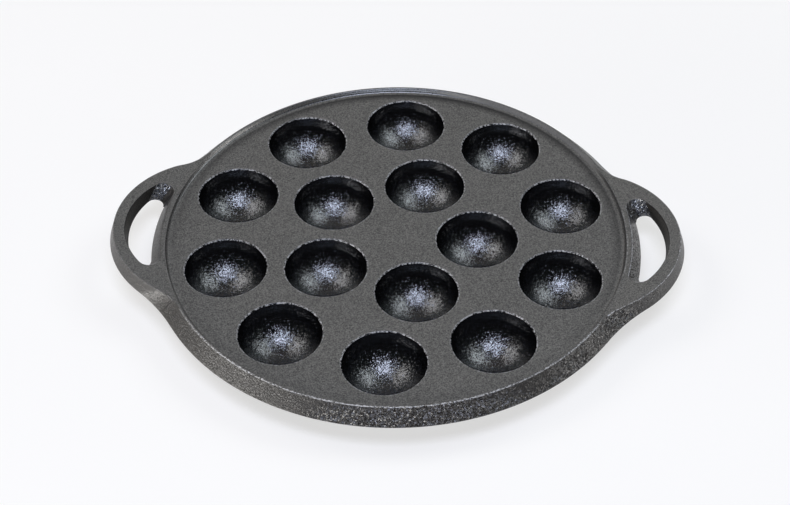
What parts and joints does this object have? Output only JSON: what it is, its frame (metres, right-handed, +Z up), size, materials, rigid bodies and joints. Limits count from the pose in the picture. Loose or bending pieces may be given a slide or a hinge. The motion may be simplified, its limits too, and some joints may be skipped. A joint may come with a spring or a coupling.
{
  "type": "takoyaki pan",
  "caption": "Round cast-iron griddle with hemispherical cups in two rings, a low rim and two loop handles, for cooking batter balls on a burner.",
  "frame": {"origin": "under the centre of the cooking plate, at the level of the flats the cups stand on", "axes": "+X along both handles, towards the handle that an inner cup lies in line with; +Y across the handles; +Z up out of the cups"},
  "size_m": [0.2826, 0.241, 0.025],
  "materials": {
    "plate_iron": "ground and seasoned, dark warm grey with a fine grain",
    "cup_iron": "sand-cast bowls with a coarse black sparkling grain",
    "rim_iron": "sand-cast wall with a coarse grain, worn bright along the lip",
    "handle_iron": "ground top faces over sand-cast sides"
  },
  "bodies": {
    "root": {"cooking_plate": "plate_iron", "rim": "rim_iron", "handle_right": "handle_iron", "handle_left": "handle_iron", "cup_01": "cup_iron", "cup_02": "cup_iron", "cup_03": "cup_iron", "cup_04": "cup_iron", "cup_05": "cup_iron", "cup_06": "cup_iron", "cup_07": "cup_iron", "cup_08": "cup_iron", "cup_09": "cup_iron", "cup_10": "cup_iron", "cup_11": "cup_iron", "cup_12": "cup_iron", "cup_13": "cup_iron", "cup_14": "cup_iron", "cup_15": "cup_iron"}
  },
  "joints": []
}
